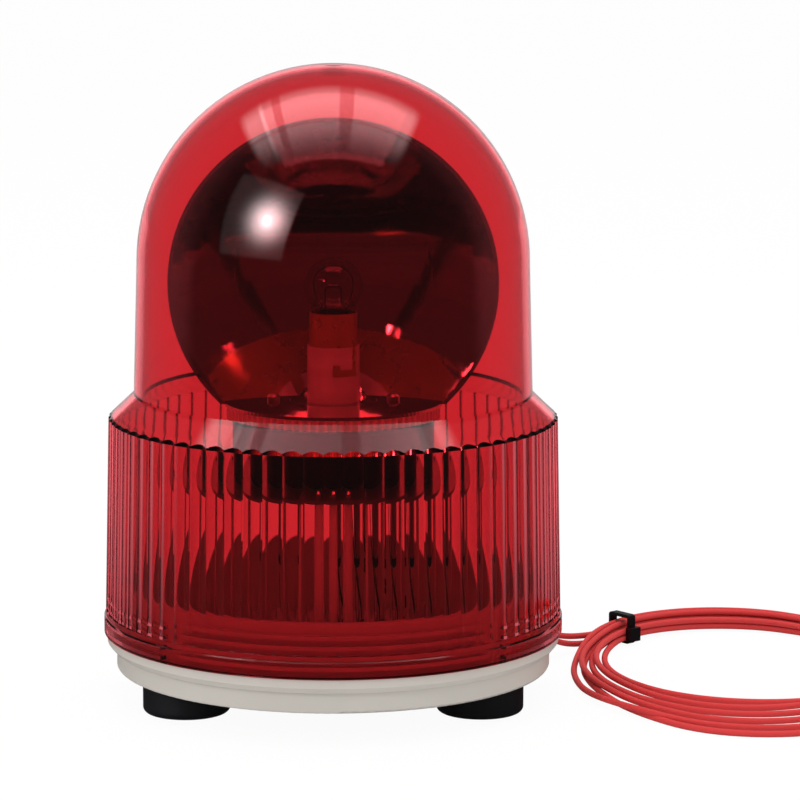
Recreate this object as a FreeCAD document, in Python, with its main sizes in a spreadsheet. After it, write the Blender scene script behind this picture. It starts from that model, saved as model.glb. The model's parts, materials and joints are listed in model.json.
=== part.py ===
"""A rotating beacon: a clear globe over a turning reflector and a fixed lamp, on a magnet-footed base.

All lengths are in millimetres. The beacon stands on z = 0, +Z is up and the globe's axis is the Z axis.
The lamp's reflector opens towards -Y at rest. The two supply leads leave the base on its +X +Y side.
"""
import FreeCAD, Part
import math
import os
import re
import Sketcher

Vector = FreeCAD.Vector
Rotation = FreeCAD.Rotation
Placement = FreeCAD.Placement
UP = Vector(0, 0, 1)

doc = FreeCAD.newDocument("rotating_beacon")

# ---------------------------------------------------------------------------------------------
# Driving dimensions. Each name is an alias of one cell in the sheet.
# ---------------------------------------------------------------------------------------------
SIZES = {
    # magnet feet
    "foot_count": 3,
    "foot_circle_radius": 52.3,
    "foot_first_angle": 90.0,
    "foot_radius": 13.5,
    "boot_height": 8.2,
    "boot_wall": 1.2,
    "boot_edge": 1.8,
    "foot_hole_radius": 3.6,
    "spacer_radius": 8.0,
    "spacer_height": 1.2,
    "bolt_radius": 2.0,
    "bolt_clearance": 0.2,
    "bolt_head_height": 1.8,
    "nut_flats_radius": 3.5,
    "nut_height": 3.2,
    "bolt_tail": 1.6,
    # base moulding
    "base_lower_height": 6.6,
    "base_step_rise": 1.8,
    "base_height": 11.0,
    "base_edge": 0.8,
    "base_floor": 2.4,
    "collar_radius": 66.2,
    "collar_wall": 2.6,
    "base_rim_inset": 1.0,
    "base_flare": 1.5,
    "base_step_depth": 1.4,
    "collar_height": 16.1,
    "collar_edge": 0.6,
    "rib_wall": 1.6,
    "rib_height": 5.0,
    "hub_radius": 12.0,
    # quarter-turn thread between collar and globe
    "thread_count": 4,
    "thread_pitch": 3.1,
    "thread_start": 2.8,
    "base_thread_width": 1.3,
    "base_thread_depth": 2.1,
    "thread_clearance": 0.55,
    "globe_thread_width": 1.2,
    "globe_thread_depth": 2.25,
    "thread_span": 84.0,
    # gasket
    "gasket_width": 2.0,
    "gasket_offset": 1.8,
    "gasket_depth": 1.2,
    "gasket_proud": 0.3,
    "gasket_play": 0.2,
    # globe
    "globe_rim_height": 5.3,
    "globe_rim_lip": 0.5,
    "globe_rim_edge": 0.4,
    "skirt_height": 67.5,
    "skirt_taper": 1.4,
    "shoulder_rise": 7.5,
    "dome_radius": 61.0,
    "dome_taper": 1.2,
    "dome_wall_rise": 41.3,
    "globe_wall": 2.5,
    "gate_radius": 3.1,
    "gate_height": 1.4,
    "flute_count": 72,
    "flute_depth": 0.85,
    "flute_radius": 5.6,
    # chassis
    "post_radius": 5.0,
    "post_circle_radius": 43.0,
    "post_height": 57.6,
    "post_first_angle": -90.0,
    "chassis_radius": 50.0,
    "chassis_thickness": 1.2,
    "chassis_hole_radius": 10.0,
    "screw_radius": 1.25,
    "screw_head_radius": 2.4,
    "screw_head_height": 1.8,
    "screw_length": 7.0,
    "screw_play": 0.15,
    "thread_bite": 0.05,
    "screw_end_gap": 0.5,
    # bearing pedestal
    "pedestal_radius": 31.5,
    "pedestal_wall": 2.2,
    "pedestal_height": 16.4,
    "pedestal_edge": 0.8,
    "pedestal_screw_circle": 26.4,
    "pedestal_boss_radius": 3.4,
    "column_radius": 11.5,
    "column_drop": 14.4,
    "tube_foot_rise": 1.0,
    "spigot_radius": 12.9,
    "spigot_height": 5.6,
    "washer_radius": 19.0,
    "washer_thickness": 0.8,
    "ring_overlap": 0.45,
    "ring_thickness": 0.5,
    "running_play": 0.06,
    "axial_play": 0.1,
    # drive gear and pinion
    "gear_module": 0.8,
    "gear_teeth": 82,
    "gear_height": 4.3,
    "gear_addendum": 0.55,
    "gear_dedendum": 1.0,
    "pinion_addendum": 0.8,
    "gear_backlash": 0.12,
    "gear_rim_radius": 28.0,
    "gear_hub_radius": 23.0,
    "gear_recess": 2.2,
    "pinion_teeth": 12,
    "pinion_height": 5.2,
    "pinion_hub_radius": 3.4,
    "pinion_hub_height": 7.0,
    "pinion_hub_lap": 0.5,
    "motor_angle": 64.0,
    # motor
    "motor_radius": 11.0,
    "motor_length": 32.0,
    "motor_edge": 1.0,
    "motor_boss_radius": 3.5,
    "motor_boss_height": 2.0,
    "motor_shaft_radius": 1.15,
    "motor_shaft_inside": 9.0,
    "motor_cap_height": 3.0,
    "motor_cap_radius": 9.8,
    "motor_screw_circle": 7.2,
    "motor_screw_length": 5.0,
    "tab_width": 2.8,
    "tab_thickness": 0.5,
    "tab_length": 5.0,
    "tab_spacing": 10.0,
    # reflector
    "dish_rim_radius": 50.3,
    "dish_axis_height": 36.7,
    "dish_focal_length": 24.0,
    "dish_thickness": 1.0,
    "dish_lip": 1.2,
    "plate_radius": 34.0,
    "plate_thickness": 1.0,
    "plate_hole_radius": 13.75,
    "dish_screw_offset": 18.6,
    "dish_screw_radius": 1.1,
    "dish_screw_head_radius": 2.0,
    "dish_screw_head_height": 1.9,
    "dish_screw_length": 3.6,
    # lampholder
    "tube_radius": 8.15,
    "tube_wall": 0.5,
    "tube_height": 36.9,
    "pin_depth": 6.5,
    "pin_push": 1.5,
    "slot_width": 2.3,
    "slot_overrun": 1.0,
    "slot_entry_angle": -36.0,
    "pin_angle": -83.0,
    "insulator_height": 2.6,
    "insulator_drop": 22.0,
    "plunger_height": 1.4,
    "plunger_flange_radius": 5.4,
    "plunger_nose_radius": 3.0,
    "spring_wire_radius": 0.35,
    "spring_radius": 4.2,
    "spring_turns": 3.5,
    # lamp
    "cap_radius": 7.5,
    "cap_wall": 0.35,
    "cap_length": 22.5,
    "cap_above_pins": 17.0,
    "cap_foot_edge": 0.8,
    "cap_floor": 2.0,
    "pin_radius": 1.0,
    "pin_reach": 1.3,
    "bulb_radius": 9.0,
    "bulb_neck_radius": 6.9,
    "bulb_centre_rise": 8.0,
    "glass_wall": 0.8,
    "tip_radius": 2.6,
    "tip_height": 1.5,
    "tip_land_radius": 1.56,
    "filament_radius": 0.45,
    "filament_length": 5.0,
    "support_radius": 0.3,
    "support_bend": 1.0,
    "stem_radius": 3.1,
    "stem_height": 3.5,
    "stem_seat": 3.0,
    "stem_skirt": 1.0,
    "stem_play": 0.05,
    # supply leads and what is on them
    "exit_angle": 32.5,
    "exit_height": 4.0,
    "lead_radius": 1.0,
    "grommet_flange": 1.4,
    "grommet_flange_thickness": 1.0,
    "grommet_body": 0.9,
    "grommet_bore_play": 0.05,
    "coil_height": 8.4,
    "tie_width": 2.8,
    "tie_thickness": 1.1,
    "tie_opening": 7.6,
    "tie_head": 4.6,
    "connector_radius": 2.4,
    "connector_length": 14.0,
    "terminal_radius": 1.95,
    "terminal_length": 8.0,
    "terminal_collar": 2.0,
    "terminal_edge": 0.5,
    "terminal_neck": 3.5,
    "terminal_point": 1.0,
    "terminal_point_step": 0.7,
    # wiring inside
    "block_x": 24.0,
    "block_y": 3.0,
    "block_length": 18.0,
    "block_depth": 9.0,
    "block_height": 8.0,
    "block_bore": 1.6,
    "wire_radius": 0.8,
    "wire_hole_play": 0.3,
}

# Radii that follow from the collar's and from the clearances and walls round it.
DERIVED = {
    "globe_thread_radius": "collar_radius + thread_clearance",
    "skirt_foot_radius": "globe_thread_radius + globe_thread_depth + globe_wall",
    "skirt_top_radius": "skirt_foot_radius - skirt_taper",
    "globe_rim_radius": "skirt_foot_radius + globe_rim_lip",
    "shoulder_radius": "dome_radius + dome_taper",
    "base_rim_radius": "globe_rim_radius - base_rim_inset",
    "base_step_radius": "base_rim_radius - base_flare",
    "base_lower_radius": "base_step_radius - base_step_depth",
    "base_thread_radius": "collar_radius + base_thread_depth",
    "gasket_inner_radius": "collar_radius + gasket_offset",
}

sheet = doc.addObject("Spreadsheet::Sheet", "Sizes")
for row, (alias, number) in enumerate(SIZES.items(), start=1):
    sheet.set(f"A{row}", alias.replace("_", " "))
    sheet.set(f"B{row}", str(number))
    sheet.setAlias(f"B{row}", alias)
doc.recompute()


def cell(word):
    """A word of a formula, as the sheet's cell where it names one."""
    name = word[0]
    if name in DERIVED:
        return f"({bound(DERIVED[name])})"
    return f"Sizes.{name}" if name in SIZES else name


def bound(formula):
    """The formula with each alias written as the sheet's cell."""
    return re.sub(r"[a-z_]+", cell, formula)


def value(formula):
    """What a formula gives now."""
    return float(sheet.evalExpression(bound(formula)))


# ---------------------------------------------------------------------------------------------
# Levels up the beacon's axis, each a stack of the heights under it.
# ---------------------------------------------------------------------------------------------
BASE_BOTTOM = "(boot_height + spacer_height)"
FLOOR_TOP = f"({BASE_BOTTOM} + base_floor)"
BASE_STEP = f"({BASE_BOTTOM} + base_lower_height)"
BASE_TOP = f"({BASE_BOTTOM} + base_height)"
COLLAR_TOP = f"({BASE_TOP} + collar_height)"
GLOBE_FOOT = f"({BASE_TOP} + gasket_proud)"
RIM_TOP = f"({GLOBE_FOOT} + globe_rim_height)"
SHOULDER_FOOT = f"({GLOBE_FOOT} + skirt_height)"
SHOULDER_TOP = f"({SHOULDER_FOOT} + shoulder_rise)"
DOME_CENTRE = f"({SHOULDER_TOP} + dome_wall_rise)"
CHASSIS_BOTTOM = f"({FLOOR_TOP} + post_height)"
CHASSIS_TOP = f"({CHASSIS_BOTTOM} + chassis_thickness)"
PEDESTAL_TOP = f"({CHASSIS_TOP} + pedestal_height)"
SPIGOT_TOP = f"({PEDESTAL_TOP} + spigot_height)"
GEAR_BOTTOM = f"({PEDESTAL_TOP} + washer_thickness + axial_play)"
GEAR_TOP = f"({GEAR_BOTTOM} + gear_height)"
PLATE_TOP = f"({GEAR_TOP} + plate_thickness)"
DISH_AXIS = f"({PLATE_TOP} + dish_axis_height)"
TUBE_BOTTOM = f"({PEDESTAL_TOP} - column_drop + tube_foot_rise)"
TUBE_TOP = f"({TUBE_BOTTOM} + tube_height)"
PIN_LEVEL = f"({TUBE_TOP} - pin_depth)"
CAP_TOP = f"({PIN_LEVEL} + cap_above_pins)"
CAP_BOTTOM = f"({CAP_TOP} - cap_length)"
TIP_BOTTOM = f"({CAP_BOTTOM} - tip_height)"
BULB_CENTRE = f"({CAP_TOP} + bulb_centre_rise)"
INSULATOR_TOP = f"({TUBE_TOP} - insulator_drop + insulator_height)"
GEAR_RADIUS = "(gear_module * gear_teeth / 2)"
PINION_RADIUS = "(gear_module * pinion_teeth / 2)"
MOTOR_REACH = f"({GEAR_RADIUS} + {PINION_RADIUS})"
MOTOR_X = f"({MOTOR_REACH} * cos(motor_angle))"
MOTOR_Y = f"({MOTOR_REACH} * sin(motor_angle))"
COLLAR_INNER = "(collar_radius - collar_wall)"
EXIT_LEVEL = f"({BASE_BOTTOM} + exit_height)"

kept = {}


def keep(node, item):
    """Name a finished sub-part."""
    item.Label = node
    kept[node] = item
    return item


def place(item, at=("0", "0", "0"), turn=None):
    """Put an item at a point given by formulas, turned by a rotation."""
    item.Placement = Placement(Vector(*map(value, at)), turn or Rotation())
    for axis, formula in zip("xyz", at):
        item.setExpression(f"Placement.Base.{axis}", bound(formula))
    return item


def primitive(kind, name, at=("0", "0", "0"), turn=None, **formulas):
    """A Part primitive whose sizes are bound to the sheet."""
    item = doc.addObject(f"Part::{kind}", name)
    for size, formula in formulas.items():
        item.setExpression(size, bound(formula))
    return place(item, at, turn)


def cylinder(name, radius, height, at=("0", "0", "0"), turn=None):
    return primitive("Cylinder", name, at, turn, Radius=radius, Height=height)


def cut(name, item, *tools):
    """An item less one tool or several."""
    result = doc.addObject("Part::Cut", name)
    result.Base = item
    result.Tool = tools[0] if len(tools) == 1 else fuse(name + "_tools", *tools)
    return result


def fuse(name, *items):
    result = doc.addObject("Part::MultiFuse", name)
    result.Shapes = list(items)
    return result


def group(name, items):
    """Separate solids of one kind under one name."""
    result = doc.addObject("Part::Compound", name)
    result.Links = list(items)
    return result


def solid(name, shape, at=None):
    """A shape worked out with Part's own functions."""
    item = doc.addObject("Part::Feature", name)
    item.Shape = shape
    if at:
        item.Placement = at
    return item


def edge_of(point, start, end):
    """The edge that ends at a profile point, and which of its ends come first and last."""
    if len(point) == 2:
        return Part.LineSegment(start, end), (1, 2)
    centre = Vector(value(point[2]), value(point[3]), 0)
    first, last = start - centre, end - centre
    angles = [math.atan2(side.y, side.x) for side in (first, last)]
    circle = Part.Circle(centre, UP, last.Length)
    if first.cross(last).z > -1e-6:
        return Part.ArcOfCircle(circle, *angles), (1, 2)
    return Part.ArcOfCircle(circle, *reversed(angles)), (2, 1)


def outline(body, plane, points):
    """A closed sketch through points given by formulas.

    A point is (across, up), reached by a straight edge, or (across, up, centre across, centre up,
    held), reached by an arc about that centre, where held says which of its two places is fixed.
    """
    sketch = body.newObject("Sketcher::SketchObject", body.Name + "_outline")
    origin = [item for item in body.Origin.OriginFeatures if item.Role == plane]
    sketch.AttachmentSupport = [(origin[0], "")]
    sketch.MapMode = "FlatFace"
    places = [Vector(value(point[0]), value(point[1]), 0) for point in points]
    edges = [edge_of(point, places[i - 1], places[i]) for i, point in enumerate(points)]
    ends = [order for _, order in edges]
    sketch.addGeometry([edge for edge, _ in edges], False)
    for i in range(len(points)):
        after = (i + 1) % len(points)
        sketch.addConstraint(Sketcher.Constraint("Coincident", i, ends[i][1], after, ends[after][0]))
    for i, point in enumerate(points):
        held = point[4] if len(point) > 2 else "both"
        if held != "up":
            hold(sketch, "DistanceX", i, ends[i][1], point[0])
        if held != "across":
            hold(sketch, "DistanceY", i, ends[i][1], point[1])
        if len(point) > 2:
            hold(sketch, "DistanceX", i, 3, point[2])
            hold(sketch, "DistanceY", i, 3, point[3])
    return sketch


def hold(sketch, kind, edge, end, formula):
    """Fix one coordinate of a sketch point by a formula."""
    if formula == "0":
        axis = -2 if kind == "DistanceX" else -1
        sketch.addConstraint(Sketcher.Constraint("PointOnObject", edge, end, axis))
        return
    number = sketch.addConstraint(Sketcher.Constraint(kind, edge, end, value(formula)))
    sketch.setExpression(f"Constraints[{number}]", bound(formula))


def lathe(name, points, at=("0", "0", "0"), turn=None):
    """A body turned about its own Z axis from a profile of (radius, height) points."""
    body = doc.addObject("PartDesign::Body", name)
    spin = body.newObject("PartDesign::Revolution", name + "_spin")
    sketch = outline(body, "XZ_Plane", points)
    spin.Profile = sketch
    spin.ReferenceAxis = (sketch, ["V_Axis"])
    spin.Angle = 360
    body.Tip = spin
    return place(body, at, turn)


def slab(name, points, height, at=("0", "0", "0"), turn=None):
    """A body raised by a height from an outline in its own XY plane."""
    body = doc.addObject("PartDesign::Body", name)
    sketch = outline(body, "XY_Plane", points)
    pad = body.newObject("PartDesign::Pad", name + "_pad")
    pad.Profile = sketch
    pad.setExpression("Length", bound(height))
    body.Tip = pad
    return place(body, at, turn)


def around(radius, angle, level="0"):
    """A point on a circle about the beacon's axis, as formulas."""
    return (f"({radius}) * cos({angle})", f"({radius}) * sin({angle})", level)


def foot_angles():
    return [f"(foot_first_angle + {i} * 360 / foot_count)" for i in range(int(SIZES["foot_count"]))]


def post_angles():
    return [f"(post_first_angle + {i} * 120)" for i in range(3)]


def ring(name, outer, inner, low, high, at=("0", "0", "0"), turn=None):
    return lathe(name, [(inner, low), (outer, low), (outer, high), (inner, high)], at, turn)


def screw(name, radius, head_radius, head_height, length, at, turn=None):
    """A pan-head screw whose head seats on its own z = 0."""
    points = [
        ("0", f"-({length})"),
        (radius, f"-({length})"),
        (radius, "0"),
        (head_radius, "0"),
        (head_radius, f"0.6 * {head_height}"),
        (f"0.6 * {head_radius}", head_height),
        ("0", head_height),
    ]
    return lathe(name, points, at, turn)


# ---------------------------------------------------------------------------------------------
# Magnet feet
# ---------------------------------------------------------------------------------------------
def foot_pieces():
    boots, magnets, spacers, bolts, nuts = [], [], [], [], []
    hole = "(bolt_radius + bolt_clearance)"
    inside = "(foot_radius - boot_wall)"
    head_top = "(boot_wall + bolt_head_height)"
    for i, angle in enumerate(foot_angles()):
        at = around("foot_circle_radius", angle)
        boots.append(lathe(f"boot_{i}", [
            ("foot_hole_radius", "0"),
            ("foot_radius - boot_edge", "0"),
            ("foot_radius", "boot_edge", "foot_radius - boot_edge", "boot_edge", "up"),
            ("foot_radius", "boot_height"),
            (inside, "boot_height"),
            (inside, "boot_wall"),
            ("foot_hole_radius", "boot_wall"),
        ], at))
        magnets.append(lathe(f"magnet_{i}", [
            ("foot_hole_radius", "boot_wall"),
            (inside, "boot_wall"),
            (inside, "boot_height"),
            (hole, "boot_height"),
            (hole, head_top),
            ("foot_hole_radius", head_top),
        ], at))
        spacers.append(ring(f"spacer_{i}", "spacer_radius", hole, "boot_height", BASE_BOTTOM, at))
        bolts.append(lathe(f"bolt_{i}", [
            ("0", "boot_wall"),
            ("foot_hole_radius - bolt_clearance", "boot_wall"),
            ("foot_hole_radius - bolt_clearance", head_top),
            ("bolt_radius", head_top),
            ("bolt_radius", f"{FLOOR_TOP} + nut_height + bolt_tail"),
            ("0", f"{FLOOR_TOP} + nut_height + bolt_tail"),
        ], at))
        seat = around("foot_circle_radius", angle, FLOOR_TOP)
        blank = primitive("Prism", f"nut_blank_{i}", seat, Circumradius="nut_flats_radius / cos(30)",
                          Height="nut_height")
        thread = cylinder(f"nut_hole_{i}", "bolt_radius", "nut_height", seat)
        nuts.append(cut(f"nut_{i}", blank, thread))
    keep("magnet_boots", group("magnet_boots", boots))
    keep("magnets", group("magnets", magnets))
    keep("foot_spacers", group("foot_spacers", spacers))
    keep("foot_bolts", group("foot_bolts", bolts))
    keep("foot_nuts", group("foot_nuts", nuts))


# ---------------------------------------------------------------------------------------------
# Base moulding
# ---------------------------------------------------------------------------------------------
def beam(name, angle, width, start, end, low, height):
    """A straight bar that runs out from the axis at an angle, centred on its width."""
    turn = Rotation(UP, value(angle))
    at = (
        f"({start}) * cos({angle}) + ({width}) / 2 * sin({angle})",
        f"({start}) * sin({angle}) - ({width}) / 2 * cos({angle})",
        low,
    )
    return primitive("Box", name, at, turn, Length=f"({end}) - ({start})", Width=width, Height=height)


def thread_segments(name, outer, inner, width, level, first_angle):
    """Two facing sectors of level thread ribs, as solids less their inside."""
    ribs = []
    for side in range(2):
        turn = Rotation(UP, value(f"{first_angle} + {side} * 180 - thread_span / 2"))
        for i in range(int(SIZES["thread_count"])):
            low = f"{level} + {i} * thread_pitch - {width} / 2"
            ribs.append(primitive("Cylinder", f"{name}_{side}_{i}", ("0", "0", low), turn,
                                  Radius=outer, Height=width, Angle="thread_span"))
    core = cylinder(f"{name}_core", inner, f"{COLLAR_TOP} - {BASE_TOP}", ("0", "0", BASE_TOP))
    return cut(name, fuse(f"{name}_ribs", *ribs), core)


def stadium(radius, half_length):
    """An upright outline with straight sides and round ends, long across."""
    return [
        (f"-({half_length})", f"-({radius})", f"-({half_length})", "0", "across"),
        (half_length, f"-({radius})"),
        (half_length, radius, half_length, "0", "across"),
        (f"-({half_length})", radius),
    ]


def exit_turn():
    """Turns an upright outline so that it looks out along the leads' exit."""
    angle = math.radians(value("exit_angle"))
    outward = Vector(math.cos(angle), math.sin(angle), 0)
    return Rotation(UP.cross(outward), UP, outward, "ZXY")


def base_pieces():
    groove_in = "gasket_inner_radius - gasket_play"
    groove_out = "gasket_inner_radius + gasket_width + gasket_play"
    groove_floor = f"{BASE_TOP} - gasket_depth"
    lower = "base_lower_radius"
    shell = lathe("base_shell", [
        ("0", BASE_BOTTOM),
        (f"{lower} - base_edge", BASE_BOTTOM),
        (lower, f"{BASE_BOTTOM} + base_edge", f"{lower} - base_edge", f"{BASE_BOTTOM} + base_edge", "up"),
        (lower, BASE_STEP),
        ("base_step_radius", BASE_STEP),
        ("base_rim_radius", f"{BASE_STEP} + base_step_rise"),
        ("base_rim_radius", BASE_TOP),
        (groove_out, BASE_TOP),
        (groove_out, groove_floor),
        (groove_in, groove_floor),
        (groove_in, BASE_TOP),
        ("collar_radius", BASE_TOP),
        ("collar_radius", f"{COLLAR_TOP} - collar_edge"),
        ("collar_radius - collar_edge", COLLAR_TOP),
        (COLLAR_INNER, COLLAR_TOP),
        (COLLAR_INNER, FLOOR_TOP),
        ("0", FLOOR_TOP),
    ])
    thread = thread_segments("base_thread", "base_thread_radius", "collar_radius - collar_wall / 2",
                             "base_thread_width", f"{BASE_TOP} + thread_start", "90")
    hub = ring("base_hub", "hub_radius", "hub_radius - rib_wall", f"{FLOOR_TOP} - base_floor / 2",
               f"{FLOOR_TOP} + rib_height")
    ribs = [
        beam(f"base_rib_{i}", f"{i} * 60", "rib_wall", "hub_radius - rib_wall / 2",
             f"{COLLAR_INNER} + collar_wall / 2", f"{FLOOR_TOP} - base_floor / 2",
             "rib_height + base_floor / 2")
        for i in range(6)
    ]
    posts, holes = [], []
    for i, angle in enumerate(post_angles()):
        foot = around("post_circle_radius", angle, f"{FLOOR_TOP} - base_floor / 2")
        posts.append(primitive("Cone", f"post_{i}", foot, Radius1="post_radius",
                               Radius2="post_radius * 0.85", Height="post_height + base_floor / 2"))
        pilot = around("post_circle_radius", angle, f"{CHASSIS_BOTTOM} - screw_length")
        holes.append(cylinder(f"post_hole_{i}", "screw_radius + thread_bite", "screw_length", pilot))
    for i, angle in enumerate(foot_angles()):
        at = around("foot_circle_radius", angle, BASE_BOTTOM)
        holes.append(cylinder(f"bolt_hole_{i}", "bolt_radius + bolt_clearance", "base_floor", at))
    exit_hole = slab("exit_hole", stadium("lead_radius + grommet_body", "lead_radius"),
                     "base_lower_radius - collar_radius + 2 * collar_wall",
                     around(f"{COLLAR_INNER} - collar_wall", "exit_angle", EXIT_LEVEL), exit_turn())
    raised = fuse("base_raised", shell, thread, hub, *ribs, *posts)
    keep("base_moulding", cut("base_moulding", raised, exit_hole, *holes))


# ---------------------------------------------------------------------------------------------
# Globe and its gasket
# ---------------------------------------------------------------------------------------------
def globe_pieces():
    keep("globe_gasket", ring("globe_gasket", "gasket_inner_radius + gasket_width",
                              "gasket_inner_radius", f"{BASE_TOP} - gasket_depth", GLOBE_FOOT))
    inner_drop = "globe_wall * 0.4"
    shell = lathe("globe_shell", [
        ("skirt_foot_radius - globe_wall", GLOBE_FOOT),
        ("globe_rim_radius", GLOBE_FOOT),
        ("globe_rim_radius", f"{RIM_TOP} - globe_rim_edge"),
        ("globe_rim_radius - globe_rim_edge", RIM_TOP),
        ("skirt_foot_radius", RIM_TOP),
        ("skirt_top_radius", SHOULDER_FOOT),
        ("shoulder_radius", SHOULDER_TOP),
        ("dome_radius", DOME_CENTRE),
        ("0", f"{DOME_CENTRE} + dome_radius", "0", DOME_CENTRE, "across"),
        ("0", f"{DOME_CENTRE} + dome_radius - globe_wall"),
        ("dome_radius - globe_wall", DOME_CENTRE, "0", DOME_CENTRE, "up"),
        ("shoulder_radius - globe_wall", f"{SHOULDER_TOP} - {inner_drop}"),
        ("skirt_top_radius - globe_wall", f"{SHOULDER_FOOT} - {inner_drop}"),
    ])
    flute_skirt(shell)
    thread = thread_segments("globe_thread", "skirt_foot_radius - globe_wall / 2",
                             "globe_thread_radius", "globe_thread_width",
                             f"{BASE_TOP} + thread_start - thread_pitch / 2", "0")
    gate = cylinder("globe_gate", "gate_radius", "gate_height + globe_wall / 2",
                    ("0", "0", f"{DOME_CENTRE} + dome_radius - globe_wall - gate_height"))
    keep("globe", fuse("globe", shell, thread, gate))


def flute_skirt(shell):
    """Cut the hollow flutes of the skirt, which follow its slight taper."""
    lean = math.degrees(math.atan2(value("skirt_foot_radius - skirt_top_radius"),
                                   value(f"{SHOULDER_FOOT} - {RIM_TOP}")))
    sketch = shell.newObject("Sketcher::SketchObject", "flute_outline")
    plane = [item for item in shell.Origin.OriginFeatures if item.Role == "XY_Plane"][0]
    sketch.AttachmentSupport = [(plane, "")]
    sketch.MapMode = "FlatFace"
    sketch.AttachmentOffset = Placement(Vector(0, 0, value(RIM_TOP)), Rotation(Vector(0, 1, 0), -lean))
    sketch.setExpression("AttachmentOffset.Base.z", bound(RIM_TOP))
    reach = "skirt_foot_radius - flute_depth + flute_radius"
    sketch.addGeometry(Part.Circle(Vector(value(reach), 0, 0), UP, value("flute_radius")), False)
    hold(sketch, "DistanceX", 0, 3, reach)
    hold(sketch, "DistanceY", 0, 3, "0")
    across = sketch.addConstraint(Sketcher.Constraint("Radius", 0, value("flute_radius")))
    sketch.setExpression(f"Constraints[{across}]", bound("flute_radius"))
    flute = shell.newObject("PartDesign::Pocket", "flute")
    flute.Profile = sketch
    flute.Reversed = True
    flute.setExpression("Length", bound(f"{SHOULDER_TOP} - {RIM_TOP}"))
    doc.recompute()
    pattern = shell.newObject("PartDesign::PolarPattern", "flutes")
    pattern.Originals = [flute]
    pattern.Axis = ([item for item in shell.Origin.OriginFeatures if item.Role == "Z_Axis"][0], [""])
    pattern.Angle = 360
    pattern.Occurrences = int(SIZES["flute_count"])
    shell.Tip = pattern


# ---------------------------------------------------------------------------------------------
# Chassis, bearing pedestal and what holds them
# ---------------------------------------------------------------------------------------------
def pedestal_screw_angles():
    return [f"{i} * 120" for i in range(3)]


def motor_screw_places(level):
    """Two places either side of the motor's shaft, square to its arm."""
    return [
        (
            f"{MOTOR_X} + {side} * motor_screw_circle * sin(motor_angle)",
            f"{MOTOR_Y} - {side} * motor_screw_circle * cos(motor_angle)",
            level,
        )
        for side in (-1, 1)
    ]


def chassis_pieces():
    through = "(screw_radius + screw_play)"
    disc = cylinder("chassis_disc", "chassis_radius", "chassis_thickness", ("0", "0", CHASSIS_BOTTOM))
    holes = [
        cylinder("chassis_hole", "chassis_hole_radius", "chassis_thickness", ("0", "0", CHASSIS_BOTTOM)),
        cylinder("motor_hole", "motor_boss_radius + screw_play", "chassis_thickness",
                 (MOTOR_X, MOTOR_Y, CHASSIS_BOTTOM)),
    ]
    places = [around("post_circle_radius", angle, CHASSIS_BOTTOM) for angle in post_angles()]
    places += [around("pedestal_screw_circle", a, CHASSIS_BOTTOM) for a in pedestal_screw_angles()]
    places += motor_screw_places(CHASSIS_BOTTOM)
    for i, at in enumerate(places):
        holes.append(cylinder(f"chassis_screw_hole_{i}", through, "chassis_thickness", at))
    keep("chassis_plate", cut("chassis_plate", disc, *holes))

    post_screws = [
        screw(f"post_screw_{i}", "screw_radius", "screw_head_radius", "screw_head_height",
              "screw_length + chassis_thickness - screw_end_gap",
              around("post_circle_radius", angle, CHASSIS_TOP))
        for i, angle in enumerate(post_angles())
    ]
    keep("chassis_screws", group("chassis_screws", post_screws))


def pedestal_pieces():
    inner = "(pedestal_radius - pedestal_wall)"
    bore = "(tube_radius + running_play)"
    roof = f"({PEDESTAL_TOP} - pedestal_wall)"
    shell = lathe("pedestal_shell", [
        (bore, f"{PEDESTAL_TOP} - column_drop"),
        ("column_radius", f"{PEDESTAL_TOP} - column_drop"),
        ("column_radius", roof),
        (inner, roof),
        (inner, CHASSIS_TOP),
        ("pedestal_radius", CHASSIS_TOP),
        ("pedestal_radius", f"{PEDESTAL_TOP} - pedestal_edge"),
        ("pedestal_radius - pedestal_edge", PEDESTAL_TOP, "pedestal_radius - pedestal_edge",
         f"{PEDESTAL_TOP} - pedestal_edge", "across"),
        ("spigot_radius", PEDESTAL_TOP),
        ("spigot_radius", SPIGOT_TOP),
        (bore, SPIGOT_TOP),
    ])
    bosses, holes, screws = [], [], []
    for i, angle in enumerate(pedestal_screw_angles()):
        at = around("pedestal_screw_circle", angle, CHASSIS_TOP)
        bosses.append(cylinder(f"pedestal_boss_{i}", "pedestal_boss_radius",
                               "pedestal_height - pedestal_wall / 2", at))
        holes.append(cylinder(f"pedestal_hole_{i}", "screw_radius + thread_bite", "screw_length", at))
        under = around("pedestal_screw_circle", angle, CHASSIS_BOTTOM)
        screws.append(screw(f"pedestal_screw_{i}", "screw_radius", "screw_head_radius",
                            "screw_head_height", "screw_length + chassis_thickness - screw_end_gap", under,
                            Rotation(Vector(1, 0, 0), 180)))
    keep("bearing_pedestal", cut("bearing_pedestal", fuse("pedestal_raised", shell, *bosses), *holes))
    keep("pedestal_screws", group("pedestal_screws", screws))
    keep("thrust_washer", ring("thrust_washer", "washer_radius", "spigot_radius + axial_play",
                               PEDESTAL_TOP, f"{PEDESTAL_TOP} + washer_thickness"))
    keep("retaining_ring", ring("retaining_ring", "spigot_radius + ring_overlap", bore, SPIGOT_TOP,
                                f"{SPIGOT_TOP} + ring_thickness"))


# ---------------------------------------------------------------------------------------------
# Gears
# ---------------------------------------------------------------------------------------------
def on_circle(radius, angle):
    return Vector(radius * math.cos(angle), radius * math.sin(angle), 0)


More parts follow.
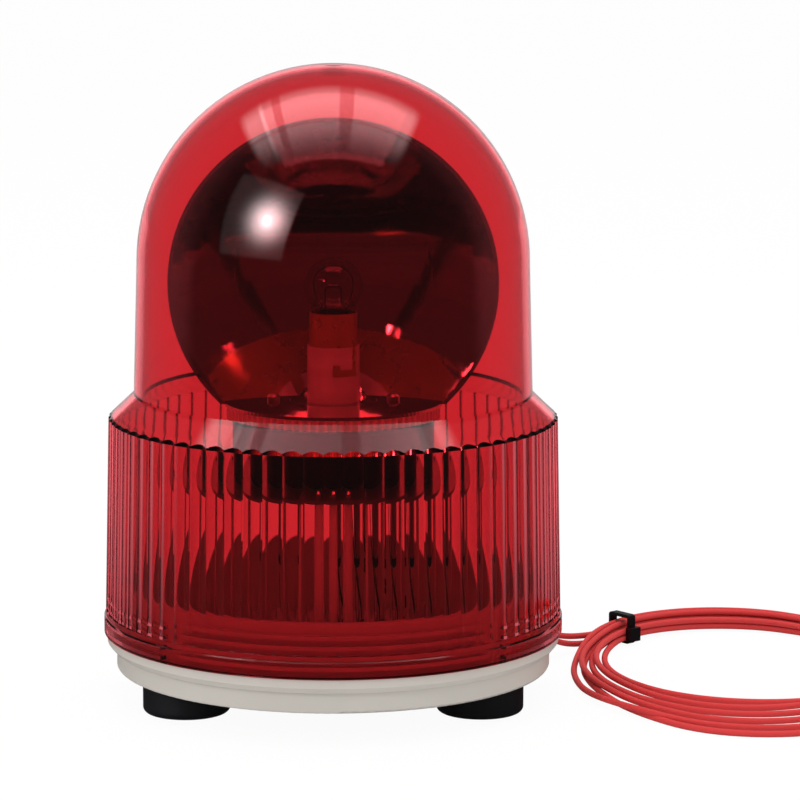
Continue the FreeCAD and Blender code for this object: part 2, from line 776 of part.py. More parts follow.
def gear_outline(module, teeth, addendum, dedendum, backlash):
    """The closed wire of an involute spur gear, with a tooth centred on its own +X."""
    pressure = math.radians(20)
    pitch = module * teeth / 2
    base = pitch * math.cos(pressure)
    tip, root = pitch + addendum, pitch - dedendum
    half_at_pitch = (math.pi * module / 2 - backlash) / 2 / pitch

    def half_angle(radius):
        """Half a tooth's angle at a radius."""
        roll = math.acos(min(1.0, base / radius))
        return half_at_pitch + math.tan(pressure) - pressure - math.tan(roll) + roll

    low = max(root, base)
    flank = [low, (low + tip) / 2, tip]
    step = 2 * math.pi / teeth
    edges = []
    for tooth in range(teeth):
        middle = tooth * step
        rising = [on_circle(radius, middle - half_angle(radius)) for radius in flank]
        falling = [on_circle(radius, middle + half_angle(radius)) for radius in reversed(flank)]
        left, right = middle + half_angle(low), middle + step - half_angle(low)
        edges.append(Part.Arc(*rising).toShape())
        edges.append(Part.Arc(rising[2], on_circle(tip, middle), falling[0]).toShape())
        edges.append(Part.Arc(*falling).toShape())
        bottom = [on_circle(root, angle) for angle in (left, middle + step / 2, right)]
        if root < base:
            edges.append(Part.LineSegment(falling[2], bottom[0]).toShape())
        edges.append(Part.Arc(*bottom).toShape())
        if root < base:
            edges.append(Part.LineSegment(bottom[2], on_circle(low, right)).toShape())
    return Part.Wire(edges)


def toothed_disc(name, teeth, addendum, height, at, phase):
    """A plain toothed disc with one tooth centred at an angle."""
    wire = gear_outline(value("gear_module"), int(value(teeth)), value(addendum),
                        value("gear_dedendum"), value("gear_backlash"))
    shape = Part.Face(wire).extrude(UP * value(height))
    place_at = Placement(Vector(*map(value, at)), Rotation(UP, phase))
    return solid(name, shape, place_at)


def gear_pieces():
    disc = toothed_disc("gear_disc", "gear_teeth", "gear_addendum", "gear_height",
                        ("0", "0", GEAR_BOTTOM), value("motor_angle"))
    bore = cylinder("gear_bore", "spigot_radius + running_play", "gear_height", ("0", "0", GEAR_BOTTOM))
    recess = ring("gear_hollow", "gear_rim_radius", "gear_hub_radius", GEAR_BOTTOM,
                  f"{GEAR_BOTTOM} + gear_recess")
    holes = [
        cylinder(f"gear_screw_hole_{i}", "dish_screw_radius + thread_bite", "gear_height",
                 (f"{side} * dish_screw_offset", "0", GEAR_BOTTOM))
        for i, side in enumerate((-1, 1))
    ]
    keep("drive_gear", cut("drive_gear", disc, bore, recess, *holes))

    tooth_gap = value("motor_angle + 180 - 180 / pinion_teeth")
    level = f"({GEAR_TOP} - axial_play - pinion_height)"
    teeth = toothed_disc("pinion_disc", "pinion_teeth", "pinion_addendum", "pinion_height",
                         (MOTOR_X, MOTOR_Y, level), tooth_gap)
    hub = cylinder("pinion_hub", "pinion_hub_radius", "pinion_hub_height + pinion_hub_lap",
                   (MOTOR_X, MOTOR_Y, f"{level} - pinion_hub_height"))
    hole = cylinder("pinion_bore", "motor_shaft_radius", "pinion_height + pinion_hub_height",
                    (MOTOR_X, MOTOR_Y, f"{level} - pinion_hub_height"))
    keep("pinion", cut("pinion", fuse("pinion_raised", teeth, hub), hole))


# ---------------------------------------------------------------------------------------------
# Motor
# ---------------------------------------------------------------------------------------------
def motor_pieces():
    foot = f"({CHASSIS_BOTTOM} - motor_length)"
    boss_top = f"({CHASSIS_BOTTOM} + motor_boss_height)"
    bore = "(motor_shaft_radius + running_play)"
    bore_floor = f"({CHASSIS_BOTTOM} - motor_shaft_inside)"
    at = (MOTOR_X, MOTOR_Y, "0")
    can = lathe("motor_shell", [
        ("0", foot),
        ("motor_radius - motor_edge", foot),
        ("motor_radius", f"{foot} + motor_edge"),
        ("motor_radius", f"{CHASSIS_BOTTOM} - motor_edge"),
        ("motor_radius - motor_edge", CHASSIS_BOTTOM),
        ("motor_boss_radius", CHASSIS_BOTTOM),
        ("motor_boss_radius", boss_top),
        (bore, boss_top),
        (bore, bore_floor),
        ("0", bore_floor),
    ], at)
    holes, screws = [], []
    for i, (x, y, level) in enumerate(motor_screw_places(CHASSIS_TOP)):
        depth = "motor_screw_length"
        holes.append(cylinder(f"motor_screw_hole_{i}", "screw_radius + thread_bite", depth,
                              (x, y, f"{CHASSIS_TOP} - {depth}")))
        screws.append(screw(f"motor_screw_{i}", "screw_radius", "screw_head_radius",
                            "screw_head_height", f"{depth} - screw_end_gap", (x, y, level)))
    keep("motor_can", cut("motor_can", can, *holes))
    keep("motor_screws", group("motor_screws", screws))
    cap_foot = f"({foot} - motor_cap_height)"
    keep("motor_end_cap", cylinder("motor_end_cap", "motor_cap_radius", "motor_cap_height",
                                   (MOTOR_X, MOTOR_Y, cap_foot)))
    tabs = [
        primitive("Box", f"motor_tab_{i}",
                  (f"{MOTOR_X} + {side} * tab_spacing / 2 - tab_width / 2",
                   f"{MOTOR_Y} - tab_thickness / 2", f"{cap_foot} - tab_length"),
                  None, Length="tab_width", Width="tab_thickness", Height="tab_length")
        for i, side in enumerate((-1, 1))
    ]
    keep("motor_terminals", group("motor_terminals", tabs))
    keep("motor_shaft", cylinder("motor_shaft", "motor_shaft_radius",
                                 f"{GEAR_TOP} - {bore_floor} - 2 * axial_play",
                                 (MOTOR_X, MOTOR_Y, f"{bore_floor} + axial_play")))


# ---------------------------------------------------------------------------------------------
# Reflector
# ---------------------------------------------------------------------------------------------
def parabola_edge(focal, back, reach):
    """The upper half of a parabola along its own +X, its vertex set back."""
    curve = Part.Parabola()
    curve.Focal = focal
    curve.Location = Vector(-back, 0, 0)
    return curve.toBSpline(0, reach).toShape()


def bowl():
    """The paraboloid shell and its flat lip, turned about +X, which is its optical axis."""
    focal, reach = value("dish_focal_length"), value("dish_rim_radius")
    wall, lip = value("dish_thickness"), value("dish_lip")
    depth = reach * reach / 4 / focal
    corners = [Vector(depth, reach, 0), Vector(depth, reach + lip, 0),
               Vector(depth - wall, reach + lip, 0), Vector(depth - wall, reach, 0)]
    edges = [parabola_edge(focal, 0, reach)]
    edges += [Part.LineSegment(a, b).toShape() for a, b in zip(corners, corners[1:])]
    edges.append(parabola_edge(focal, wall, reach))
    edges.append(Part.LineSegment(Vector(-wall, 0, 0), Vector(0, 0, 0)).toShape())
    face = Part.Face(Part.Wire(Part.__sortEdges__(edges)))
    return face.revolve(Vector(0, 0, 0), Vector(1, 0, 0), 360)


def reflector_pieces():
    facing = Rotation(Vector(0, -1, 0), UP, Vector(-1, 0, 0), "XYZ")
    at = Placement(Vector(0, value("dish_focal_length"), value(DISH_AXIS)), facing)
    round_dish = solid("dish_bowl", bowl(), at)
    span = "(2 * dish_rim_radius + 4 * dish_lip)"
    below = primitive("Box", "dish_below", (f"-{span} / 2", f"-{span} / 2", f"{GEAR_TOP} - {span}"),
                      None, Length=span, Width=span, Height=span)
    plate = cylinder("dish_plate", "plate_radius", "plate_thickness", ("0", "0", GEAR_TOP))
    hole = cylinder("dish_hole", "plate_hole_radius", "dish_axis_height", ("0", "0", GEAR_TOP))
    screw_holes, screws = [], []
    for i, side in enumerate((-1, 1)):
        x = f"{side} * dish_screw_offset"
        screw_holes.append(cylinder(f"dish_screw_hole_{i}", "dish_screw_radius + thread_bite",
                                    "plate_thickness", (x, "0", GEAR_TOP)))
        screws.append(screw(f"dish_screw_{i}", "dish_screw_radius", "dish_screw_head_radius",
                            "dish_screw_head_height", "dish_screw_length", (x, "0", PLATE_TOP)))
    trimmed = cut("dish_trimmed", round_dish, below)
    keep("reflector_dish", cut("reflector_dish", fuse("dish_whole", trimmed, plate), hole, *screw_holes))
    keep("reflector_screws", group("reflector_screws", screws))


# ---------------------------------------------------------------------------------------------
# Lampholder
# ---------------------------------------------------------------------------------------------
def slot_tools(name, turned):
    """One bayonet slot: the way in, the way round and the notch that the pin rests in."""
    low = f"({PIN_LEVEL} - pin_push - slot_width / 2)"
    entry, rest = f"(slot_entry_angle + {turned})", f"(pin_angle + {turned})"
    reach = "tube_radius + slot_overrun"
    way_in = beam(f"{name}_in", entry, "slot_width", "0", reach, low, f"{TUBE_TOP} + slot_overrun - {low}")
    way_round = primitive("Cylinder", f"{name}_round", ("0", "0", low), Rotation(UP, value(rest)),
                          Radius=reach, Height="slot_width", Angle=f"{entry} - {rest}")
    notch = beam(f"{name}_notch", rest, "slot_width", "0", reach, low, "pin_push + slot_width")
    return [way_in, way_round, notch]


def lampholder_pieces():
    inside = "(tube_radius - tube_wall)"
    tube = ring("holder_tube", "tube_radius", inside, TUBE_BOTTOM, TUBE_TOP)
    keep("lampholder_tube", cut("lampholder_tube", tube, *slot_tools("slot_a", "0"),
                                *slot_tools("slot_b", "180")))
    keep("lampholder_insulator", ring("lampholder_insulator", f"{inside} - running_play",
                                      "wire_radius + wire_hole_play", f"{TUBE_TOP} - insulator_drop",
                                      INSULATOR_TOP))
    flange = f"({TIP_BOTTOM} - plunger_height)"
    keep("contact_plunger", lathe("contact_plunger", [
        ("0", flange),
        ("plunger_flange_radius", flange),
        ("plunger_flange_radius", f"{flange} + plunger_height / 2"),
        ("plunger_nose_radius", f"{flange} + plunger_height / 2"),
        ("plunger_nose_radius", TIP_BOTTOM),
        ("0", TIP_BOTTOM),
    ]))
    wire = value("spring_wire_radius")
    height = value(f"{flange} - {INSULATOR_TOP}") - 2 * wire
    path = Part.makeHelix(height / value("spring_turns"), height, value("spring_radius"))
    start = Part.Wire(Part.makeCircle(wire, Vector(value("spring_radius"), 0, 0), Vector(0, 1, 0)))
    coil = Part.Wire(path).makePipeShell([start], True, True)
    keep("contact_spring", solid("contact_spring", coil,
                                 Placement(Vector(0, 0, value(INSULATOR_TOP) + wire), Rotation())))


# ---------------------------------------------------------------------------------------------
# Lamp
# ---------------------------------------------------------------------------------------------
def lamp_pieces():
    neck, wall = "bulb_neck_radius", "glass_wall"
    seat = f"({CAP_TOP} - stem_seat)"
    keep("lamp_glass", lathe("lamp_glass", [
        (neck, seat),
        (neck, f"{BULB_CENTRE} - sqrt(bulb_radius ^ 2 - {neck} ^ 2)"),
        ("0", f"{BULB_CENTRE} + bulb_radius", "0", BULB_CENTRE, "across"),
        ("0", f"{BULB_CENTRE} + bulb_radius - {wall}"),
        (f"{neck} - {wall}", f"{BULB_CENTRE} - sqrt((bulb_radius - {wall}) ^ 2 - ({neck} - {wall}) ^ 2)",
         "0", BULB_CENTRE, "across"),
        (f"{neck} - {wall}", seat),
    ]))
    skin = "(cap_radius - cap_wall)"
    shell = lathe("cap_shell", [
        ("0", CAP_BOTTOM),
        ("cap_radius - cap_foot_edge", CAP_BOTTOM),
        ("cap_radius", f"{CAP_BOTTOM} + cap_foot_edge"),
        ("cap_radius", CAP_TOP),
        (skin, CAP_TOP),
        (skin, seat),
        (f"{neck} - {wall}", seat),
        (f"{neck} - {wall}", f"{CAP_BOTTOM} + cap_floor"),
        ("0", f"{CAP_BOTTOM} + cap_floor"),
    ])
    pins = [
        cylinder(f"cap_pin_{i}", "pin_radius", "cap_wall + pin_reach",
                 around(skin, f"(pin_angle + {i} * 180)", PIN_LEVEL),
                 Rotation(UP, value(f"pin_angle + {i} * 180")).multiply(Rotation(Vector(0, 1, 0), 90)))
        for i in range(2)
    ]
    keep("lamp_cap", fuse("lamp_cap", shell, *pins))
    keep("lamp_contact", lathe("lamp_contact", [
        ("0", TIP_BOTTOM),
        ("tip_land_radius", TIP_BOTTOM),
        ("tip_radius", f"{TIP_BOTTOM} + tip_height / 2"),
        ("tip_radius", CAP_BOTTOM),
        ("0", CAP_BOTTOM),
    ]))
    stem_top = f"({seat} + stem_height)"
    keep("lamp_stem", lathe("lamp_stem", [
        ("0", seat),
        (f"{neck} - {wall} - stem_play", seat),
        (f"{neck} - {wall} - stem_play", f"{seat} + stem_skirt"),
        ("stem_radius", f"{seat} + 2 * stem_skirt"),
        ("stem_radius", stem_top),
        ("0", stem_top),
    ]))
    half, level, foot = value("filament_length / 2"), value(BULB_CENTRE), value(stem_top)
    bend = value("support_bend")
    flat = half - bend
    legs = tube([(-half, 0, foot), (-half, 0, level - bend), (-flat, 0, level), (flat, 0, level),
                 (half, 0, level - bend), (half, 0, foot)], value("support_radius"))
    coil = Part.makeCylinder(value("filament_radius"), 2 * flat, Vector(-flat, 0, level),
                             Vector(1, 0, 0))
    keep("filament", solid("filament", legs.fuse(coil)))


# ---------------------------------------------------------------------------------------------
# Leads and wires
# ---------------------------------------------------------------------------------------------
def tube(points, radius, name=None):
    """A round tube along straight runs joined by tangent arcs, each as large as its runs allow."""
    places = [Vector(*point) for point in points]
    edges, start, radii = [], places[0], []
    for before, corner, after in zip(places, places[1:], places[2:]):
        come, go = (corner - before), (after - corner)
        turn = come.getAngle(go)
        shorter = min(come.Length, go.Length)
        come.normalize()
        go.normalize()
        bend = 0.45 * shorter / math.tan(turn / 2)
        radii.append(bend)
        first, last = corner - come * 0.45 * shorter, corner + go * 0.45 * shorter
        inward = (go - come).normalize()
        middle = corner + inward * (bend / math.cos(turn / 2) - bend)
        edges += [Part.LineSegment(start, first).toShape(), Part.Arc(first, middle, last).toShape()]
        start = last
    edges.append(Part.LineSegment(start, places[-1]).toShape())
    path = Part.Wire(edges)
    section = Part.Wire(Part.makeCircle(radius, places[0], places[1] - places[0]))
    shape = path.makePipe(Part.Face(section))
    if name:
        expected = math.pi * radius ** 2 * path.Length
        print(f"{name}: length {path.Length:.1f}, smallest bend {min(radii):.1f},"
              f" volume ratio {shape.Volume / expected:.4f}")
    return shape


def from_exit(points):
    """Points given as (out along the exit, to its left, level), as places."""
    angle = math.radians(value("exit_angle"))
    out = Vector(math.cos(angle), math.sin(angle), 0)
    left = UP.cross(out)
    return [tuple(out * along + left * aside + UP * level) for along, aside, level in points]


# The leads' way from the grommet down to the surface, in the exit's own directions.
LEAD_A = [(69.1, -1.0, 13.4), (73.5, -1.0, 13.1), (77.6, -1.0, 11.2), (81.4, -1.0, 8.1),
          (85.8, -0.6, 5.4), (91.2, 0.4, 3.4), (97.6, 1.2, 2.4), (105.5, 2.0, 2.15)]
LEAD_B = [(69.1, 1.0, 13.4), (73.8, 1.1, 13.2), (78.2, 1.6, 11.7), (82.2, 2.1, 9.2),
          (86.8, 2.5, 6.9), (92.2, 2.9, 5.3), (98.6, 3.3, 4.5), (106.5, 3.6, 4.25)]

# The coil's oval: its outer and inner edges, each a centre and half sizes.
COIL_OUTER = ((131.0, 14.0), (54.5, 79.0))
COIL_INNER = ((132.5, 32.0), (42.5, 49.0))
TIE_PLACE = (96.6, 67.4)
TIE_ANGLE = 40.0
CONNECTORS = [((172.3, 28.0), -112.0), ((170.0, 50.0), -116.0)]


def oval(centre, half):
    """A flat ellipse about a centre, long along Y."""
    middle = Vector(*centre, 0)
    curve = Part.Ellipse(middle + Vector(0, half[1], 0), middle + Vector(half[0], 0, 0), middle)
    return Part.Face(Part.Wire(curve.toShape()))


def lead_pieces():
    grommet_at = around("base_lower_radius - base_edge", "exit_angle", EXIT_LEVEL)
    body = slab("grommet_body", stadium("lead_radius + grommet_body", "lead_radius"),
                "base_edge + grommet_flange_thickness", grommet_at, exit_turn())
    flange = slab("grommet_rim", stadium("lead_radius + grommet_flange", "lead_radius"),
                  "grommet_flange_thickness",
                  around("base_lower_radius", "exit_angle", EXIT_LEVEL), exit_turn())
    inner = slab("grommet_sleeve", stadium("lead_radius + grommet_body", "lead_radius"),
                 f"base_lower_radius - base_edge - {COLLAR_INNER}",
                 around(COLLAR_INNER, "exit_angle", EXIT_LEVEL), exit_turn())
    bore = slab("grommet_bore", stadium("lead_radius + grommet_bore_play", "lead_radius"),
                f"base_lower_radius + 2 * grommet_flange_thickness - {COLLAR_INNER}",
                around(f"{COLLAR_INNER} - grommet_flange_thickness", "exit_angle", EXIT_LEVEL),
                exit_turn())
    keep("cord_grommet", cut("cord_grommet", fuse("grommet_whole", body, flange, inner), bore))

    radius = value("lead_radius")
    keep("lead_a", solid("lead_a", tube(from_exit(LEAD_A), radius, "lead_a")))
    keep("lead_b", solid("lead_b", tube(from_exit(LEAD_B), radius, "lead_b")))
    coil = oval(*COIL_OUTER).cut(oval(*COIL_INNER)).extrude(UP * value("coil_height"))
    keep("lead_coil", solid("lead_coil", coil))


def tie_pieces():
    opening, wall = "tie_opening", "tie_thickness"
    turn = Rotation(UP, TIE_ANGLE).multiply(Rotation(Vector(0, 1, 0), 90))
    along = turn.multVec(UP)
    side = f"(tie_opening / 2 + {wall})"
    points = [
        (f"-({opening} + 2 * {wall})", f"-{side} + {wall}"),
        (f"-({opening} + {wall})", f"-{side}", f"-({opening} + {wall})", f"-{side} + {wall}", "across"),
        (f"-{wall}", f"-{side}"),
        ("0", f"-{side} + {wall}", f"-{wall}", f"-{side} + {wall}", "up"),
        ("0", f"{side} - {wall}"),
        (f"-{wall}", side, f"-{wall}", f"{side} - {wall}", "across"),
        (f"-({opening} + {wall})", side),
        (f"-({opening} + 2 * {wall})", f"{side} - {wall}", f"-({opening} + {wall})",
         f"{side} - {wall}", "up"),
    ]
    band = slab("tie_band", points, "tie_width")
    hole = primitive("Box", "tie_hole", (f"-({opening} + {wall})", f"-{opening} / 2", "0"), None,
                     Length=opening, Width=opening, Height="tie_width")
    head = primitive("Box", "tie_head", (f"-(tie_head + {wall})", f"-({side} + 1.5 * {wall})",
                                         "-(tie_head - tie_width) / 2"), None,
                     Length="tie_head", Width=f"2 * {wall}", Height="tie_head")
    tie = cut("cable_tie", fuse("tie_whole", band, head), hole)
    tie.Placement = Placement(Vector(*TIE_PLACE, 0) - along * value("tie_width") / 2, turn)
    keep("cable_tie", tie)


def connector_pieces():
    sleeves, pins = [], []
    collar = "connector_length + terminal_collar"
    tip = f"{collar} + terminal_edge + terminal_neck + terminal_point"
    for i, ((x, y), angle) in enumerate(CONNECTORS):
        turn = Rotation(UP, angle).multiply(Rotation(Vector(0, 1, 0), 90))
        at = (str(x), str(y), "connector_radius")
        sleeves.append(ring(f"connector_sleeve_{i}", "connector_radius", "terminal_radius", "0",
                            "connector_length", at, turn))
        pins.append(lathe(f"connector_pin_{i}", [
            ("0", "connector_length - terminal_length"),
            ("terminal_radius", "connector_length - terminal_length"),
            ("terminal_radius", collar),
            ("terminal_radius - terminal_edge", f"{collar} + terminal_edge"),
            ("terminal_radius - terminal_edge", f"{tip} - terminal_point"),
            ("terminal_radius - terminal_edge - terminal_point_step", tip),
            ("0", tip),
        ], at, turn))
    keep("connector_sleeves", group("connector_sleeves", sleeves))
    keep("connector_pins", group("connector_pins", pins))


def wiring_pieces():
    blank = primitive("Box", "block_blank", ("block_x", "block_y", FLOOR_TOP), None,
                      Length="block_length", Width="block_depth", Height="block_height")
    along = Rotation(Vector(0, 1, 0), 90)
    middle = f"{FLOOR_TOP} + block_height / 2"
    bores = [
        cylinder(f"block_bore_{i}", "block_bore", "block_length",
                 ("block_x", f"block_y + {share} * block_depth", middle), along)
        for i, share in enumerate((0.25, 0.75))
    ]
    keep("terminal_block", cut("terminal_block", blank, *bores))
    radius, thin = value("lead_radius"), value("wire_radius")
    z = value(middle)
    outer = value("base_lower_radius + grommet_flange_thickness")
    ends = from_exit([(outer, -1.0, value(EXIT_LEVEL)), (54, -1.0, value(EXIT_LEVEL)),
                      (outer, 1.0, value(EXIT_LEVEL)), (55, 1.0, value(EXIT_LEVEL) + 0.1)])
    tails = [
        tube([ends[0], ends[1], (43.5, 18.5, z - 0.6), (47.5, 10.5, z), (45.5, 5.25, z),
              (38.5, 5.25, z)], radius),
        tube([ends[2], ends[3], (46.0, 25.5, z + 1.2), (50.5, 15.5, z + 1.4), (47.5, 9.75, z),
              (38.5, 9.75, z)], radius),
    ]
    keep("supply_tails", group("supply_tails", [solid(f"tail_{i}", t) for i, t in enumerate(tails)]))
    cap_foot = value(f"{CHASSIS_BOTTOM} - motor_length - motor_cap_height - tab_length")
    x, y, half = value(MOTOR_X), value(MOTOR_Y), value("tab_spacing / 2")
    motor = [
        tube([(x - half, y, cap_foot), (x - half, y, 24), (12.5, 26, 20.5), (14.5, 15, 18.6),
              (20.5, 5.25, z), (28, 5.25, z)], thin),
        tube([(x + half, y, cap_foot), (x + half, y, 24), (21.5, 25, 19), (18.6, 15.5, 17.0),
              (21.0, 9.75, z), (28, 9.75, z)], thin),
    ]
    keep("motor_wires", group("motor_wires", [solid(f"motor_wire_{i}", t) for i, t in enumerate(motor)]))
    low, high = value(f"{TUBE_TOP} - insulator_drop"), value(TUBE_BOTTOM)
    lamp = [
        tube([(27, 5.25, z + 4), (27, 5.25, z + 8), (13, 2.5, 34), (3.5, 0.4, 50), (0, 0, 66),
              (0, 0, low)], thin),
        tube([(27, 9.75, z + 4), (27, 9.75, z + 9), (15, 6, 34), (9, 2.5, 48), (6.6, 0, 62),
              (6.6, 0, high + 3)], thin),
    ]
    keep("lamp_wires", group("lamp_wires", [solid(f"lamp_wire_{i}", t) for i, t in enumerate(lamp)]))


for make in (foot_pieces, base_pieces, globe_pieces, chassis_pieces, pedestal_pieces, gear_pieces,
             motor_pieces, reflector_pieces, lampholder_pieces, lamp_pieces, lead_pieces, tie_pieces,
             connector_pieces, wiring_pieces):
    make()
doc.recompute()

failed = [item.Label for item in doc.Objects if {"Invalid", "Error"} & set(item.State)]
for node, item in kept.items():
    shape = item.Shape
    if shape.isNull() or not shape.isValid() or not shape.Solids:
        failed.append(node)
if failed:
    raise SystemExit(f"these sub-parts failed: {failed}")

os.makedirs("parts", exist_ok=True)
for node, item in kept.items():
    item.Shape.exportStep(f"parts/{node}.step")
    print(f"{node}: {len(item.Shape.Solids)} solid(s), {item.Shape.Volume:.0f} mm3")
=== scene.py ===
"""The rotating beacon's finish, leads, studio and camera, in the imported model's own frame."""
import json
import math

import bpy
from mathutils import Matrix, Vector


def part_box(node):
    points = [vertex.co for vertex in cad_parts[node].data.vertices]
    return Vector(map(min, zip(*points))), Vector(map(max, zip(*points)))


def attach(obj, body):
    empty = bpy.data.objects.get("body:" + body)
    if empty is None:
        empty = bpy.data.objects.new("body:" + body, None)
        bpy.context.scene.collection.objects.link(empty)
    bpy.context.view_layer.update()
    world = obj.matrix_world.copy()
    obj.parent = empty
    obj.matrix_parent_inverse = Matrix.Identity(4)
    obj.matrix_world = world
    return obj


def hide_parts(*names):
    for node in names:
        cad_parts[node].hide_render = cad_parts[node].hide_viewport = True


MM = 0.001

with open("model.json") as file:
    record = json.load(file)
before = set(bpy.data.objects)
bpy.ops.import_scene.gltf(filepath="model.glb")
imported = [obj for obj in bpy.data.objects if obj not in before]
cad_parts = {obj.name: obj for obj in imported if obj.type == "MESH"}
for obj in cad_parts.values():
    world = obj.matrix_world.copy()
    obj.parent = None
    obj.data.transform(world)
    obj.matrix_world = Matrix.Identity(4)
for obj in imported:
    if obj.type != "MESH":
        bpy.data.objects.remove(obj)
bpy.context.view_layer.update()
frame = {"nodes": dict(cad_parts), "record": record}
NODES = frame["nodes"]
GLOBE_LOW, GLOBE_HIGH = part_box("globe")


# ---------------------------------------------------------------------------------------------
# Camera: places in metres, the aim's offsets as slopes of the view, the lens and sensor in mm.
# ---------------------------------------------------------------------------------------------
CAMERA_BACK = 1.12815
CAMERA_HEIGHT = 0.27846
AIM_HEIGHT = 0.100
AIM_RIGHT = 0.018196
AIM_DOWN = 0.006027
LENS = 164.7
SENSOR = 36


def make_camera():
    """A long lens a little above the beacon, aimed just right of it so that the leads show."""
    camera = bpy.data.objects.new("camera", bpy.data.cameras.new("camera"))
    bpy.context.scene.collection.objects.link(camera)
    camera.data.sensor_width = SENSOR
    camera.data.lens = LENS
    camera.location = (0, -CAMERA_BACK, CAMERA_HEIGHT)
    sight = Vector((0, 0, AIM_HEIGHT)) - camera.location
    to_axis = sight.to_track_quat("-Z", "Y")
    aside = Vector((0, 0, -1)).rotation_difference(Vector((AIM_RIGHT, -AIM_DOWN, -1)))
    camera.rotation_mode = "QUATERNION"
    camera.rotation_quaternion = to_axis @ aside
    bpy.context.scene.camera = camera


# ---------------------------------------------------------------------------------------------
# Leads: the routes repeat the model's own, in the exit's directions: out, to its left, up (mm).
# ---------------------------------------------------------------------------------------------
EXIT_ANGLE = math.radians(32.5)
LEAD_RADIUS = 1.0 * MM
LEAD_A = [(69.1, -1.0, 13.4), (73.5, -1.0, 13.1), (77.6, -1.0, 11.2), (81.4, -1.0, 8.1),
          (85.8, -0.6, 5.4), (91.2, 0.4, 3.4), (97.6, 1.2, 2.4), (105.5, 2.0, 2.15)]
LEAD_B = [(69.1, 1.0, 13.4), (73.8, 1.1, 13.2), (78.2, 1.6, 11.7), (82.2, 2.1, 9.2),
          (86.8, 2.5, 6.9), (92.2, 2.9, 5.3), (98.6, 3.3, 4.5), (106.5, 3.6, 4.25)]

# The coil's edges in mm, each an oval's centre and half sizes, and the point that its turns go
# round. A turn has a control point every so many degrees.
COIL_OUTER = ((131.0, 14.0), (54.5, 79.0))
COIL_INNER = ((132.5, 32.0), (42.5, 49.0))
COIL_MIDDLE = (132.0, 30.0)
TURN_STEP = 20

# Bearings round the coil where its turns' places are set: the tie, the far side, the right, the
# near side, the crossing, the low left, the left tip, the way up to the tie, and the tie again.
BEARINGS = [137, 90, 20, -100, -118, -145, -180, -205, -223]

# Each turn's place at those bearings: its share of the way from the inner edge to the outer one,
# and its height in mm. The leads lie stacked in the tie and fan out on the near side.
TURNS_A = [
    [(0.80, 2.15), (0.80, 1.5), (0.80, 1.05), (0.97, 1.05), (0.84, 1.05), (0.74, 1.05), (0.70, 1.05),
     (0.58, 2.4)],
    [(0.50, 4.25), (0.50, 3.6), (0.45, 3.15), (0.62, 1.05), (0.66, 1.9), (0.72, 3.15), (0.78, 3.15),
     (0.64, 4.6)],
    [(0.50, 6.35), (0.50, 5.7), (0.30, 5.25), (0.24, 1.05), (0.24, 1.05), (0.28, 2.2), (0.34, 3.15),
     (0.26, 3.8)],
    [(0.20, 4.25), (0.20, 3.6), (0.00, 3.0)],
]
TURNS_B = [
    [(0.80, 4.25), (0.80, 3.6), (0.80, 3.15), (0.80, 1.05), (0.90, 3.15), (0.99, 1.4), (0.98, 1.05),
     (0.90, 5.3)],
    [(0.80, 6.35), (0.80, 5.7), (0.55, 5.25), (0.42, 1.05), (0.42, 1.05), (0.42, 1.05), (0.46, 1.05),
     (0.50, 1.6)],
    [(0.50, 2.15), (0.50, 1.5), (0.45, 1.05), (0.05, 1.05), (0.05, 1.05), (0.03, 1.05), (0.03, 1.05),
     (0.10, 1.4)],
    [(0.20, 2.15), (0.20, 1.5), (0.00, 1.05)],
]
# The last points, inside the coil, and the bearing where each lead leaves its last turn.
TAIL_A = [(174.2, 36.5, 2.6), (172.3, 28.0, 2.4)]
TAIL_B = [(173.0, 58.0, 1.9), (170.0, 50.0, 2.4)]
LEAVE_A, LEAVE_B = 30, 50

# A lead's spline: its order, and how finely it is cut along its length and round its section.
SPLINE_ORDER = 3
LENGTH_STEPS = 8
SECTION_STEPS = 5


def smooth(share):
    """A share from 0 to 1 that starts and ends gently."""
    return share * share * (3 - 2 * share)


def reach(oval, bearing):
    """How far an oval's edge lies from the coil's middle on a bearing."""
    (centre_x, centre_y), (half_x, half_y) = oval
    x, y = math.cos(bearing), math.sin(bearing)
    from_x, from_y = COIL_MIDDLE[0] - centre_x, COIL_MIDDLE[1] - centre_y
    a = (x / half_x) ** 2 + (y / half_y) ** 2
    b = 2 * (from_x * x / half_x ** 2 + from_y * y / half_y ** 2)
    c = (from_x / half_x) ** 2 + (from_y / half_y) ** 2 - 1
    return (math.sqrt(b * b - 4 * a * c) - b) / 2 / a


def turn_place(places, bearing):
    """A turn's share and height at a bearing, smoothly between the set ones."""
    for i, (start, end) in enumerate(zip(BEARINGS, BEARINGS[1:])):
        if end <= bearing <= start:
            done = smooth((start - bearing) / (start - end))
            return [one + (two - one) * done for one, two in zip(places[i], places[i + 1])]
    raise ValueError(f"no place at bearing {bearing}")


def coil_points(turns, leave, tail):
    """Control points once round the coil for each turn, then in to the lead's end."""
    radius = LEAD_RADIUS / MM
    # The curve runs inside its control points by this share, so they stand further out.
    pulled_in = 0.75 + 0.25 * math.cos(math.radians(TURN_STEP))
    points = []
    passed = TURN_STEP
    while True:
        turn, turned = divmod(passed, 360)
        bearing = BEARINGS[0] - turned
        if turn == len(turns) - 1 and bearing < leave:
            return points + tail
        places = turns[turn] + [following[0] for following in turns[turn + 1:turn + 2]]
        share, level = turn_place(places, bearing)
        angle = math.radians(bearing)
        inner, outer = reach(COIL_INNER, angle) + radius, reach(COIL_OUTER, angle) - radius
        out = (inner + (outer - inner) * share) / pulled_in
        points.append((COIL_MIDDLE[0] + out * math.cos(angle),
                       COIL_MIDDLE[1] + out * math.sin(angle), level))
        passed += TURN_STEP


